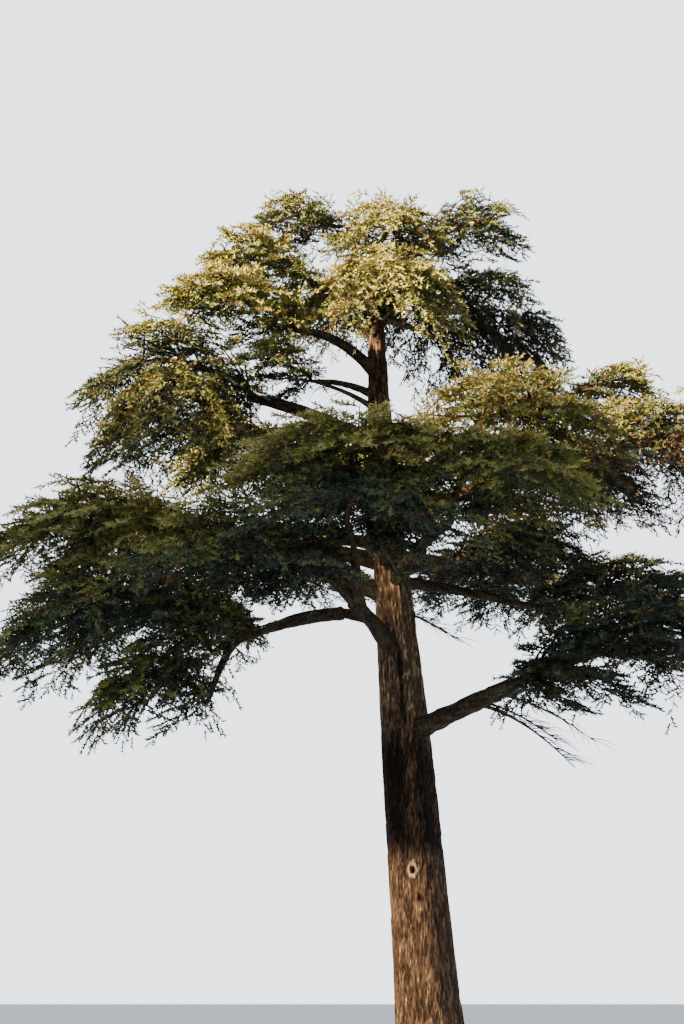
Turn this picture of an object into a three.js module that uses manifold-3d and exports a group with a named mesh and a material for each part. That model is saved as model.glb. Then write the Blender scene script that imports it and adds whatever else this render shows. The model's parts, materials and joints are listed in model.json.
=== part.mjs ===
// A mature cedar of Lebanon: a leaning, fluted trunk, long level boughs, and drooping tiers of needle sprays.
// Millimetres. +Z is up and the ground is z = 0. The origin is the middle of the flat cut under the trunk.
// X runs to the right of the side that the tree is best seen from, and Y runs away from that side.
import * as THREE from "three";
import { mergeVertices } from "three/addons/utils/BufferGeometryUtils.js";
import Module from "manifold-3d";

const wasm = await Module();
wasm.setup();

// Driving dimensions
const METRE = 1000;
const CLEARANCE = 0.3; // gap between two pieces that touch
const TRUNK_TIP = 17.7 * METRE; // height at which the leader ends
const TRUNK_VANISH = 19.6 * METRE; // height at which its taper would reach nothing
const TRUNK_RADIUS = 0.68 * METRE; // at the ground, without the flare
const TAPER_POWER = 0.75; // under 1, so that the trunk stays stout for most of its height
const LEAN = 0.0685; // sideways for each unit of height, to the left
const LEAN_EASES = 12 * METRE; // height from which the lean fades
const UPRIGHT_FROM = 16.8 * METRE; // height from which the trunk stands upright
const FLUTES = 5; // lobes round the trunk, which become the root buttresses
const FLUTE_DEPTH = 0.06; // share of the radius
const FLUTES_DEEPEN = { by: 1, at: 6.5 * METRE, over: 2 * METRE }; // twice as deep where low boughs fork off
const FLUTE_AT = THREE.MathUtils.degToRad(-104); // direction of the groove that faces the front
const FLARE = 0.36 * METRE; // how far the root flare stands out at the ground
const FLARE_HEIGHT = 0.42 * METRE; // height over which it fades
const FLARE_LOBES = 0.4; // share of the flare that only the lobes have
const TRUNK_SIDES = 20;
const TRUNK_RINGS = [0, 0.2, 0.5, 1, 1.8, 3, 4.5, 6.2, 8, 10, 12, 14, 16].map((z) => z * METRE);
const SCAR_HEIGHT = 3.9 * METRE; // collar round the wound of a limb cut off long ago
const SCAR_RADIUS = 0.17 * METRE;
const SCAR_AT = THREE.MathUtils.degToRad(-99);

const BOUGH_SIDES = 6;
const BOUGH_STEPS = 4;
const BOUGH_CROWDING = 1.2; // over 1, so that the steps crowd towards the fork
const BOUGH_THINS = 0.42; // share of its girth that a bough loses on its way to its tip
const COLLAR_SWELL = 0.4; // how much thicker it is in the fork
const COLLAR_SHARE = 0.1; // share of the bough over which the swelling fades

const STEM_SIDES = 3;
const RIB_SIDES = 3;
const STEM_SINK = 0.08 * METRE; // how deep a stem starts in the limb that carries it, before it is cut
const STEM_SHARE = 0.84; // its radius against its bough's tip, so that it starts within the tip's flat end
const TRUNK_STEM = 90; // radius given to the stems that leave the trunk
const STEM_FROM = -0.92; // where the stem enters its mass, from -1 at the near rim to 1 at the far one
const STEM_STATIONS = [-0.72, -0.4, -0.05, 0.5]; // places along the mass that it passes
const STEM_BEND = 0.06; // how far it sweeps to the sides, as a share of the mass's half width
const STEM_THINS = 0.13; // share of its first radius that it loses from one ring to the next
const RIBS = 8; // side twigs of a mass
const RIB_ROUND = { first: 150, sweep: 135, uneven: 16 }; // directions of ribs, in degrees from the stem
const RIB_TIERS = [-20, 30]; // degrees above the mass's rim that the lower and the upper tier point
const RIB_RISE_UNEVEN = 14; // degrees
const RIB_ROOT_BACK = 0.5; // how far behind its rim a rib leaves the stem
const RIB_ROOT_RANGE = [-0.8, 0.4];
const CREST_RIB = { from: -0.5, rim: [0.3, 0.1, 0.94] };
const END_RIB = { from: 0.45, rim: [1, 0, 0] };
const TWIG_RADII = [0.34, 0.24]; // of a rib's bare twig, against the stem's
const TWIG_SHARE = 0.3; // share of a rib's run that its bare twig takes; its spray takes the rest
// One side of a spray from tip to root, as shares of its length: two teeth that point forward
const SPRAY_OUTLINE = [[0.56, 0], [0.3, 0.13], [0.2, 0.3], [-0.03, 0.2], [-0.16, 0.33], [-0.44, 0]];
const SPRAY_THICKNESS = 0.13; // of its length
const SPRAY_SINK = 0.1 * METRE; // how deep its root lies in the twig
const SPACE_LIMIT = 1.35; // how far a tip may pass its mass's dome, whose surface is at 1
const LIMB_CLEAR = 20; // a twig or spray nearer than this to a limb is left out
const FUSE_TOLERANCE = 4; // how far a face may move where the fused pieces are simplified
const FIRST_SEED = 101;

// The limbs, in metres and degrees. A heading of 0 is +X and 90 is +Y. Height is where the limb leaves the
// trunk. A limb with "from" leaves that bough instead, "at" a share of its length. Reach and rise place its
// tip, arch lifts its middle, and girth is its radius in the fork. Mass is the foliage that it carries: its
// length, width and depth, how far its rim droops, how it is turned from the bough and how steeply its stem
// climbs.
const LIMBS = [
  { name: "low_right", height: 6.7, heading: -45, reach: 2.9, rise: 0.65, arch: 0,
    girth: 0.26, mass: { length: 5.6, width: 4.2, depth: 2.5, droop: 0.45, turn: 32, climb: 0.12 } },
  { name: "low_right_back", height: 10.1, heading: 16, reach: 3.3, rise: -0.35, arch: 0.05,
    girth: 0.13, mass: { length: 4.4, width: 3.6, depth: 2.1, droop: 0.6, turn: 0, climb: 0 } },
  { name: "low_left", height: 9.0, heading: 168, reach: 3.0, rise: 0.1, arch: 0.4,
    girth: 0.14, mass: { length: 4.6, width: 3.4, depth: 1.8, droop: 0.9, turn: 8, climb: -0.04 } },
  { name: "low_front_left", height: 8.4, heading: 238, reach: 2.7, rise: 1.1, arch: 0.1,
    girth: 0.2, mass: { length: 4.6, width: 4.2, depth: 1.7, droop: 0.6, turn: -22, climb: -0.05 } },
  { name: "low_front", from: "low_front_left", at: 0.62, heading: 268, reach: 1.9, rise: 0.5, arch: 0.1,
    girth: 0.15, mass: { length: 4.2, width: 4.2, depth: 1.5, droop: 0.6, turn: 0, climb: 0 } },
  { name: "left_low", height: 9.7, heading: 189, reach: 4.0, rise: 0.8, arch: 0.2,
    girth: 0.2, mass: { length: 4.9, width: 4.2, depth: 1.8, droop: 0.9, turn: 0, climb: 0 } },
  { name: "left_front_low", from: "low_left", at: 0.4, heading: 208, reach: 2.9, rise: -1.1, arch: 0.1,
    girth: 0.12, mass: { length: 4.8, width: 4.2, depth: 2.2, droop: 1.2, turn: -8, climb: -0.05 } },
  { name: "left_hanging", from: "left_front_low", at: 0.88, heading: 232, reach: 0.7, rise: -1.3, arch: 0.1,
    girth: 0.1, mass: { length: 2.7, width: 2.8, depth: 1.7, droop: 0.7, turn: -17, climb: -0.2 } },
  { name: "front", height: 10.4, heading: 260, reach: 3.0, rise: 0.3, arch: 0.2,
    girth: 0.19, mass: { length: 4.2, width: 4.8, depth: 1.6, droop: 0.7, turn: 0, climb: 0 } },
  { name: "front_right", height: 9.9, heading: 288, reach: 3.2, rise: 0.5, arch: 0.2,
    girth: 0.18, mass: { length: 4.0, width: 4.2, depth: 1.6, droop: 0.7, turn: 0, climb: 0 } },
  { name: "dome_right", height: 11.95, heading: 300, reach: 2.3, rise: 0.05, arch: 0.2,
    girth: 0.17, mass: { length: 4.2, width: 4.2, depth: 1.8, droop: 0.6, turn: 6, climb: 0.05 } },
  { name: "right_upper", height: 11.3, heading: -15, reach: 3.9, rise: 1.0, arch: 0.25,
    girth: 0.22, mass: { length: 4.8, width: 4.2, depth: 2.2, droop: 0.6, turn: 8, climb: 0 } },
  { name: "right_leader", from: "right_upper", at: 0.93, heading: 30, reach: 0.85, rise: 2.0, arch: 0,
    girth: 0.1, mass: { length: 2.3, width: 2.2, depth: 1.3, droop: 0.4, turn: 0, climb: 0.15 } },
  { name: "mid_right", height: 10.6, heading: -4, reach: 1.3, rise: -0.1, arch: 0.05,
    girth: 0.15, mass: { length: 3.2, width: 3.0, depth: 1.3, droop: 0.6, turn: 0, climb: -0.03 } },
  { name: "left_upper", height: 13.15, heading: 187, reach: 2.75, rise: 1.1, arch: 0.15,
    girth: 0.21, mass: { length: 4.1, width: 4.2, depth: 2.4, droop: 1.0, turn: 0, climb: 0 } },
  { name: "left_upper_low", height: 12.2, heading: 199, reach: 3.35, rise: 0.7, arch: 0.25,
    girth: 0.17, mass: { length: 3.4, width: 3.6, depth: 2.3, droop: 1.5, turn: 0, climb: -0.14 } },
  { name: "left_inner", height: 14.45, heading: 194, reach: 1.4, rise: 0.25, arch: 0.1,
    girth: 0.1, mass: { length: 2.6, width: 2.4, depth: 1.1, droop: 0.5, turn: 0, climb: 0 } },
  { name: "left_high", height: 15.0, heading: 198, reach: 1.8, rise: 0.85, arch: 0.25,
    girth: 0.14, mass: { length: 3.6, width: 3.2, depth: 1.6, droop: 0.7, turn: 0, climb: 0 } },
  { name: "top_left", height: 16.0, heading: 178, reach: 1.5, rise: 1.4, arch: -0.08,
    girth: 0.16, mass: { length: 2.7, width: 2.8, depth: 1.5, droop: 0.4, turn: 12, climb: 0.1 } },
  { name: "top_left_leader", height: 16.5, heading: 158, reach: 0.7, rise: 2.4, arch: 0,
    girth: 0.1, mass: { length: 2.5, width: 2.4, depth: 1.5, droop: 0.4, turn: 10, climb: 0.1 } },
  { name: "top_right_weeping", height: 16.4, heading: 30, reach: 1.0, rise: 0.7, arch: 0.1,
    girth: 0.12, mass: { length: 4.2, width: 3.8, depth: 3.0, droop: 1.1, turn: 0, climb: -0.25 } },
  { name: "top_right", height: 16.9, heading: 6, reach: 0.9, rise: 1.2, arch: 0.1,
    girth: 0.1, mass: { length: 2.8, width: 3.0, depth: 1.8, droop: 0.8, turn: -8, climb: 0.1 } },
  { name: "back_right_low", height: 10.2, heading: 60, reach: 3.6, rise: 1.1, arch: 0.2,
    girth: 0.18, mass: { length: 4.6, width: 4.4, depth: 1.7, droop: 0.7, turn: 0, climb: 0 } },
  { name: "back_left_low", height: 10.8, heading: 118, reach: 3.8, rise: 1.1, arch: 0.2,
    girth: 0.18, mass: { length: 4.6, width: 4.4, depth: 1.7, droop: 0.7, turn: 0, climb: 0 } },
  { name: "left_back_low", height: 10.45, heading: 153, reach: 4.3, rise: 1.0, arch: 0.2,
    girth: 0.18, mass: { length: 4.6, width: 4.2, depth: 1.7, droop: 0.8, turn: 0, climb: 0 } },
  { name: "back_upper", height: 12.85, heading: 96, reach: 3.0, rise: 0.9, arch: 0.2,
    girth: 0.16, mass: { length: 4.2, width: 4.2, depth: 2.2, droop: 0.8, turn: 0, climb: 0 } },
  { name: "back_right_upper", height: 12.3, heading: 38, reach: 3.5, rise: 1.0, arch: 0.2,
    girth: 0.17, mass: { length: 4.4, width: 4.2, depth: 1.8, droop: 0.8, turn: 0, climb: 0 } },
  { name: "back_left_upper", height: 13.6, heading: 136, reach: 2.7, rise: 0.2, arch: 0.2,
    girth: 0.15, mass: { length: 4.0, width: 3.8, depth: 1.8, droop: 0.8, turn: 0, climb: 0 } },
];

// The masses whose stems leave the trunk itself. The first one grows on from the trunk's tip.
const TRUNK_MASSES = [
  { name: "top_dome", heading: 285,
    mass: { length: 2.6, width: 2.8, depth: 1.7, droop: 0.5, climb: 0 } },
  { name: "top_cascade", height: 16.7, heading: 281,
    mass: { length: 3.0, width: 3.2, depth: 1.7, droop: 1.1, climb: -0.3 } },
  { name: "top_back", height: 17.1, heading: 106,
    mass: { length: 4.0, width: 3.4, depth: 2.1, droop: 0.8, climb: 0.12 } },
];

const BARK = new THREE.MeshStandardMaterial({ color: 0x6f5c4b, roughness: 0.95, metalness: 0 });
const BOUGH_BARK = new THREE.MeshStandardMaterial({ color: 0x4f463a, roughness: 0.95, metalness: 0 });
const NEEDLES = new THREE.MeshStandardMaterial({ color: 0x56683a, roughness: 0.8, metalness: 0 });

const UP = new THREE.Vector3(0, 0, 1);

// Numbers in [0, 1) that follow from a seed, the same in every run.
function numbersFrom(seed) {
  let state = seed >>> 0;
  return () => {
    state = (state + 0x6d2b79f5) >>> 0;
    let t = state;
    t = Math.imul(t ^ (t >>> 15), t | 1);
    t = (t ^ (t + Math.imul(t ^ (t >>> 7), t | 61))) >>> 0;
    return ((t ^ (t >>> 14)) >>> 0) / 4294967296;
  };
}

// A level direction at that heading, in degrees.
function level(heading) {
  const angle = THREE.MathUtils.degToRad(heading);
  return new THREE.Vector3(Math.cos(angle), Math.sin(angle), 0);
}

function toSolid(geometry) {
  geometry.deleteAttribute("normal");
  geometry.deleteAttribute("uv");
  const merged = mergeVertices(geometry, 1e-3);
  const vertProperties = Float32Array.from(merged.attributes.position.array);
  const triVerts = Uint32Array.from(merged.index.array);
  return new wasm.Manifold(new wasm.Mesh({ numProp: 3, vertProperties, triVerts }));
}

function toGeometry(solid) {
  const mesh = solid.getMesh();
  const geometry = new THREE.BufferGeometry();
  geometry.setAttribute("position", new THREE.BufferAttribute(Float32Array.from(mesh.vertProperties), 3));
  geometry.setIndex(new THREE.BufferAttribute(Uint32Array.from(mesh.triVerts), 1));
  geometry.computeVertexNormals();
  return geometry;
}

function largestBody(solid) {
  return solid.decompose().sort((a, b) => b.volume() - a.volume())[0];
}

// A closed limb through points, with a radius at each: a cylinder whose rings are moved square to the path.
function limbSolid(points, radii, sides) {
  const last = points.length - 1;
  const steps = points.map((_, k) => {
    const [before, after] = [points[Math.max(k - 1, 0)], points[Math.min(k + 1, last)]];
    return after.clone().sub(before).normalize();
  });
  const steep = Math.abs(points[last].clone().sub(points[0]).normalize().z) > 0.9;
  const reference = steep ? new THREE.Vector3(1, 0, 0) : UP;
  const geometry = new THREE.CylinderGeometry(1, 1, 1, sides, last);
  const position = geometry.attributes.position;
  for (let i = 0; i < position.count; i++) {
    const ring = Math.round((0.5 - position.getY(i)) * last);
    const across = steps[ring].clone().cross(reference).normalize();
    const outward = steps[ring].clone().cross(across);
    const moved = points[ring].clone();
    moved.addScaledVector(across, position.getX(i) * radii[ring]);
    moved.addScaledVector(outward, position.getZ(i) * radii[ring]);
    position.setXYZ(i, moved.x, moved.y, moved.z);
  }
  return toSolid(geometry);
}

// The trunk's middle at a height: it leans to the left, then straightens.
function trunkMiddle(z) {
  const ease = Math.min(Math.max(z - LEAN_EASES, 0), UPRIGHT_FROM - LEAN_EASES);
  const straight = Math.min(z, LEAN_EASES);
  return new THREE.Vector3(-LEAN * (straight + ease - ease ** 2 / (2 * (UPRIGHT_FROM - LEAN_EASES))), 0, z);
}

// Its radius in one direction: taper, flutes, and the root flare that stands out on the lobes.
function trunkRadius(z, angle) {
  const lobe = -Math.cos(FLUTES * (angle - FLUTE_AT));
  const deepening = FLUTES_DEEPEN.by * Math.exp(-(((z - FLUTES_DEEPEN.at) / FLUTES_DEEPEN.over) ** 2));
  const taper = TRUNK_RADIUS * (1 - z / TRUNK_VANISH) ** TAPER_POWER;
  const flare = FLARE * (1 - FLARE_LOBES + FLARE_LOBES * lobe) * Math.exp(-z / FLARE_HEIGHT);
  return taper * (1 + FLUTE_DEPTH * (1 + deepening) * lobe) + flare;
}

// The trunk, grown all round by a margin where it is used to cut what meets it.
function trunkSolid(margin = 0) {
  const heights = [...TRUNK_RINGS, TRUNK_TIP + margin];
  const geometry = new THREE.CylinderGeometry(1, 1, 1, TRUNK_SIDES, heights.length - 1);
  const position = geometry.attributes.position;
  for (let i = 0; i < position.count; i++) {
    const z = heights[Math.round((position.getY(i) + 0.5) * (heights.length - 1))];
    const angle = Math.atan2(-position.getZ(i), position.getX(i));
    const share = Math.hypot(position.getX(i), position.getZ(i));
    const radius = share * (trunkRadius(z, angle) + margin);
    const middle = trunkMiddle(z);
    position.setXYZ(i, middle.x + radius * Math.cos(angle), middle.y + radius * Math.sin(angle), z);
  }
  return toSolid(geometry);
}

// The rolled collar round an old wound on the trunk's front: a low ring on a stub.
function scarSolid() {
  const out = level(THREE.MathUtils.radToDeg(SCAR_AT));
  const face = trunkMiddle(SCAR_HEIGHT).addScaledVector(out, trunkRadius(SCAR_HEIGHT, SCAR_AT));
  const [deep, crest, hollow] = [-0.9, 0.45, -0.1].map((share) => share * SCAR_RADIUS);
  const profile = [[0, deep], [1, deep], [1, 0], [0.75, crest], [0.45, crest], [0.3, hollow], [0, hollow]];
  const ring = profile.map(([radius, height]) => new THREE.Vector2(radius * SCAR_RADIUS, height));
  const geometry = new THREE.LatheGeometry(ring, 10);
  geometry.scale(0.8, 1, 1.25);
  geometry.applyQuaternion(new THREE.Quaternion().setFromUnitVectors(new THREE.Vector3(0, 1, 0), out));
  geometry.translate(face.x, face.y, face.z);
  return toSolid(geometry);
}

// A bough's path from the middle of what carries it: level reach, rise, and an arch that lifts its middle.
function boughPath(row, paths) {
  const parent = paths.get(row.from);
  const root = parent ? parent.pointAt(row.at) : trunkMiddle(row.height * METRE);
  const pointAt = (s) =>
    root
      .clone()
      .addScaledVector(level(row.heading), row.reach * METRE * s)
      .addScaledVector(UP, (row.rise * s + row.arch * 4 * s * (1 - s)) * METRE);
  const radiusAt = (s) => {
    const collar = 1 + COLLAR_SWELL * Math.exp(-s / COLLAR_SHARE);
    return row.girth * METRE * (1 - BOUGH_THINS * s) * collar;
  };
  const shares = Array.from({ length: BOUGH_STEPS + 1 }, (_, k) => (k / BOUGH_STEPS) ** BOUGH_CROWDING);
  const end = pointAt(1).sub(pointAt(shares[BOUGH_STEPS - 1])).normalize();
  return { pointAt, radiusAt, shares, end };
}

// A bough, or the same grown all round by a margin to cut what meets it.
function boughSolid({ pointAt, radiusAt, shares, end }, margin = 0) {
  const points = shares.map(pointAt);
  points[BOUGH_STEPS].addScaledVector(end, margin);
  return limbSolid(points, shares.map((s) => radiusAt(s) + margin), BOUGH_SIDES);
}

// A mass's own space: a flattened dome whose rim droops. (u, v, w) runs from -1 to 1 along, across and up it.
function spaceOf(mass, start, heading) {
  const sizes = [mass.length, mass.width, mass.depth];
  const [halfLength, halfWidth, halfDepth] = sizes.map((size) => (size * METRE) / 2);
  const droop = mass.droop * METRE;
  const along = level(heading).addScaledVector(UP, mass.climb);
  const across = level(heading + 90);
  const centre = start.clone().addScaledVector(along, -STEM_FROM * halfLength);
  centre.addScaledVector(UP, droop * STEM_FROM ** 2);
  const at = (u, v, w) =>
    centre
      .clone()
      .addScaledVector(along, u * halfLength)
      .addScaledVector(across, v * halfWidth)
      .addScaledVector(UP, w * halfDepth - droop * (u * u + v * v));
  const fill = (point) => {
    const offset = point.clone().sub(centre);
    const u = offset.dot(level(heading)) / halfLength;
    const v = offset.dot(across) / halfWidth;
    const w = (offset.z - u * halfLength * mass.climb + droop * (u * u + v * v)) / halfDepth;
    return u * u + v * v + w * w;
  };
  return { at, fill };
}

// The stem's slow sideways sweep.
function bend(u) {
  return STEM_BEND * Math.sin(4 * u);
}

// The side twigs of a mass. By turns they head for its left and right rim and for a lower and an upper tier.
// The last two head for the crest of its dome and for its far end.
function ribsOf(random) {
  const pairs = RIBS / 2;
  const ribs = Array.from({ length: RIBS }, (_, k) => {
    const pair = Math.floor(k / 2);
    const side = k % 2 ? 1 : -1;
    const evenRound = RIB_ROUND.first - (RIB_ROUND.sweep * (pair + 0.5)) / pairs;
    const round = THREE.MathUtils.degToRad(evenRound + RIB_ROUND.uneven * (random() - 0.5));
    const rise = THREE.MathUtils.degToRad(RIB_TIERS[(pair + k) % 2] + RIB_RISE_UNEVEN * random());
    const from = THREE.MathUtils.clamp(Math.cos(round) - RIB_ROOT_BACK, ...RIB_ROOT_RANGE);
    const rim = [Math.cos(round) * Math.cos(rise), side * Math.sin(round) * Math.cos(rise), Math.sin(rise)];
    return { from, rim };
  });
  return [...ribs, CREST_RIB, END_RIB];
}

// A spray of needles as a flat blade with two teeth on each side, thickest in the middle.
function spraySolid(root, direction, length) {
  const corners = 2 * (SPRAY_OUTLINE.length - 1);
  const geometry = new THREE.SphereGeometry(1, corners, 2);
  const position = geometry.attributes.position;
  const across = direction.clone().cross(UP).normalize();
  const out = across.clone().cross(direction);
  const middle = root.clone().addScaledVector(direction, -SPRAY_OUTLINE.at(-1)[0] * length - SPRAY_SINK);
  for (let i = 0; i < position.count; i++) {
    const [x, y, z] = [position.getX(i), position.getY(i), position.getZ(i)];
    const onRim = Math.hypot(x, z) > 0.5;
    const corner = Math.round((Math.abs(Math.atan2(z, x)) * corners) / (2 * Math.PI));
    const [forward, sideways] = onRim ? SPRAY_OUTLINE[corner] : [0, 0];
    const moved = middle.clone().addScaledVector(direction, forward * length);
    moved.addScaledVector(across, Math.sign(z) * sideways * length);
    moved.addScaledVector(out, (onRim ? 0 : Math.sign(y)) * (SPRAY_THICKNESS / 2) * length);
    position.setXYZ(i, moved.x, moved.y, moved.z);
  }
  return toSolid(geometry);
}

// One mass of foliage: its stem, its side twigs and the sprays on them, fused. The stem starts inside the
// limb that carries it and is cut off just clear of it. Whatever would leave the mass's space for that of a
// neighbour, or touch another limb, is left out.
function massSolid({ space, root, direction, radius, cutter, seed }, spaces, limbs) {
  const random = numbersFrom(seed);
  const own = (point) => {
    const fill = space.fill(point);
    return fill < SPACE_LIMIT && spaces.every((other) => other === space || other.fill(point) > fill);
  };
  const clearOf = (others, solid) => others.every((other) => solid.minGap(other, LIMB_CLEAR) >= LIMB_CLEAR);
  const stations = STEM_STATIONS.map((u) => space.at(u, bend(u), 0));
  const start = root.clone().addScaledVector(direction, -STEM_SINK);
  const lead = root.clone().addScaledVector(direction, 2 * STEM_SINK);
  const stemPoints = [start, lead, ...stations];
  const stemRadii = stemPoints.map((_, k) => radius * (1 - STEM_THINS * k));
  const twigs = [limbSolid(stemPoints, stemRadii, STEM_SIDES)];
  const sprays = [];
  const addSpray = (root, run) => {
    const spray = spraySolid(root, run.clone().normalize(), run.length() + SPRAY_SINK);
    if (own(root.clone().add(run)) && clearOf(limbs, spray)) sprays.push(spray);
  };
  for (const { from, rim } of ribsOf(random)) {
    const at = (s) => space.at(from + (rim[0] - from) * s, rim[1] * s + bend(from) * (1 - s), rim[2] * s);
    const fork = at(TWIG_SHARE);
    const twig = limbSolid([at(0), fork], TWIG_RADII.map((share) => share * radius), RIB_SIDES);
    if (!own(fork) || !clearOf(limbs, twig)) continue;
    twigs.push(twig);
    addSpray(fork, at(1).sub(fork));
  }
  const fused = wasm.Manifold.union([...twigs, ...sprays]).asOriginal().simplify(FUSE_TOLERANCE);
  return largestBody(fused.subtract(cutter));
}

const tree = new THREE.Group();
function addPiece(name, solid, material) {
  const mesh = new THREE.Mesh(toGeometry(solid), material);
  mesh.name = name;
  tree.add(mesh);
}

const trunk = trunkSolid().add(scarSolid());
const trunkCutter = trunkSolid(CLEARANCE);
addPiece("trunk", trunk, BARK);

// Each bough is cut off just clear of the trunk and of the bough that carries it.
const paths = new Map();
for (const row of LIMBS) paths.set(row.name, boughPath(row, paths));
const cutters = new Map([...paths].map(([name, path]) => [name, boughSolid(path, CLEARANCE)]));
const boughs = new Map();
for (const row of LIMBS) {
  const whole = boughSolid(paths.get(row.name)).subtract(trunkCutter);
  const bough = largestBody(row.from ? whole.subtract(cutters.get(row.from)) : whole);
  boughs.set(row.name, bough);
  addPiece(`bough_${row.name}`, bough, BOUGH_BARK);
}

// The masses: one at the tip of each bough, and a few that the trunk carries.
const onBoughs = LIMBS.map(({ name, heading, mass }) => {
  const { pointAt, radiusAt, end } = paths.get(name);
  const carrier = { cutter: cutters.get(name), limb: boughs.get(name) };
  const start = { root: pointAt(1), direction: end, tip: radiusAt(1), heading: heading + mass.turn };
  return { name, ...mass, ...carrier, ...start };
});
const onTrunk = TRUNK_MASSES.map(({ name, height, heading, mass }) => {
  const root = trunkMiddle(height === undefined ? TRUNK_TIP : height * METRE);
  const direction = height === undefined ? UP : level(heading);
  return { name, ...mass, cutter: trunkCutter, limb: trunk, root, direction, tip: TRUNK_STEM, heading };
});
const masses = [...onBoughs, ...onTrunk];
masses.forEach((mass, k) => {
  mass.space = spaceOf(mass, mass.root, mass.heading);
  mass.radius = STEM_SHARE * mass.tip;
  mass.seed = FIRST_SEED + k;
});
const spaces = masses.map(({ space }) => space);
const placed = [trunk, ...boughs.values()];
for (const mass of masses) {
  const solid = massSolid(mass, spaces, placed.filter((limb) => limb !== mass.limb));
  placed.push(solid);
  addPiece(`foliage_${mass.name}`, solid, NEEDLES);
}

export default tree;
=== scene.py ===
# %% [markdown]
# # A mature cedar of Lebanon in Blender
#
# The tree stands about 20 m tall. Its trunk leans a little and ends in a root flare, its boughs run out
# almost level, and its foliage lies on them in flat tiers whose rims droop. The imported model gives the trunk,
# the boughs and one coarse solid for each mass of foliage. This script keeps their places and sizes and makes
# what the eye sees: bark with fissures, twigs, needles and cones.
#
# Everything is in metres. +Z is up, and seen from the camera +X is to the right and +Y is away.

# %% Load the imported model
import json

import bpy
import numpy as np
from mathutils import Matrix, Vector

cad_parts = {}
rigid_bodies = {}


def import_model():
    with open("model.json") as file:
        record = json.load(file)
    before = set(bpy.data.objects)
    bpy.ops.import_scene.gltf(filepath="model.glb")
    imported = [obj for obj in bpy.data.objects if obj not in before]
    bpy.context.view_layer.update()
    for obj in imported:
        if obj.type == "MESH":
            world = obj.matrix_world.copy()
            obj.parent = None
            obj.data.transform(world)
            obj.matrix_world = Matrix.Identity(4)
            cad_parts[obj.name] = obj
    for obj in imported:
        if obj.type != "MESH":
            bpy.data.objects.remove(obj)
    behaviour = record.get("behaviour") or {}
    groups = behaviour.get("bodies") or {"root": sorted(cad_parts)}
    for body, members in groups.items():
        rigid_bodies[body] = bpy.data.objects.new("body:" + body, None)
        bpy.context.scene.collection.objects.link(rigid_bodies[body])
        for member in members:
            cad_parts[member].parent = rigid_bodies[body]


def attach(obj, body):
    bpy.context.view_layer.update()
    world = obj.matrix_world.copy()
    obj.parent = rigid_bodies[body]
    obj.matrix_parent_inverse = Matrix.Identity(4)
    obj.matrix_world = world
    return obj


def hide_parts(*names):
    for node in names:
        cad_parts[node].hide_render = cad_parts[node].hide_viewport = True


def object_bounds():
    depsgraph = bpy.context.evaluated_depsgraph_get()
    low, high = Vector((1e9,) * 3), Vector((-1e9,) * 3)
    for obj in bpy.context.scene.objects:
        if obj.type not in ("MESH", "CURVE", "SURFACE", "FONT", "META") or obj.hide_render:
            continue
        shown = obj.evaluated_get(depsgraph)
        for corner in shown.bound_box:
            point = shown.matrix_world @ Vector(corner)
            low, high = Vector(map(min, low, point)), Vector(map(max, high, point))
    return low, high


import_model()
CAD_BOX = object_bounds()
print("packed box, in metres:", [round(float(high - low), 2) for low, high in zip(*CAD_BOX)])

# %% [markdown]
# ## The camera
#
# The tree is seen from eye height, about 30 m away and a little to the left of the trunk, with the camera
# tilted up so that the horizon lies just above the lower edge of the frame. A 50 mm lens gives the tapering
# look of a tall tree seen from the ground. The camera comes first because each later choice is judged
# through it.

# %% Make the camera
CAMERA_PLACE = (-1.78, -30.0, 1.6)
CAMERA_TILT = np.radians(90 + 18.58)

camera_data = bpy.data.cameras.new("camera")
camera_data.lens = 50
camera_data.sensor_width = 36
camera_data.clip_end = 400
camera = bpy.data.objects.new("camera", camera_data)
camera.location = CAMERA_PLACE
camera.rotation_euler = (CAMERA_TILT, 0, 0)
bpy.context.scene.collection.objects.link(camera)
bpy.context.scene.camera = camera
print("camera at", CAMERA_PLACE)

# %% [markdown]
# ## What carries what
#
# A cedar of this age has one trunk with heavy boughs at many heights. Each row of the first table is one
# bough and the mass of foliage at its tip; the second table holds the masses that the trunk carries itself.
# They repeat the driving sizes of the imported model, so that the bark and the needles grow where its solids
# stand.
#
# A heading of 0 is +X and 90 is +Y. A bough leaves the trunk at a height, or its parent bough at a share of
# its length. Reach and rise place its tip, arch lifts its middle and girth is its radius in the fork. A mass
# has its length, width and depth, how far its rim droops, how it turns from the bough and how steeply its
# stem climbs.

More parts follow.
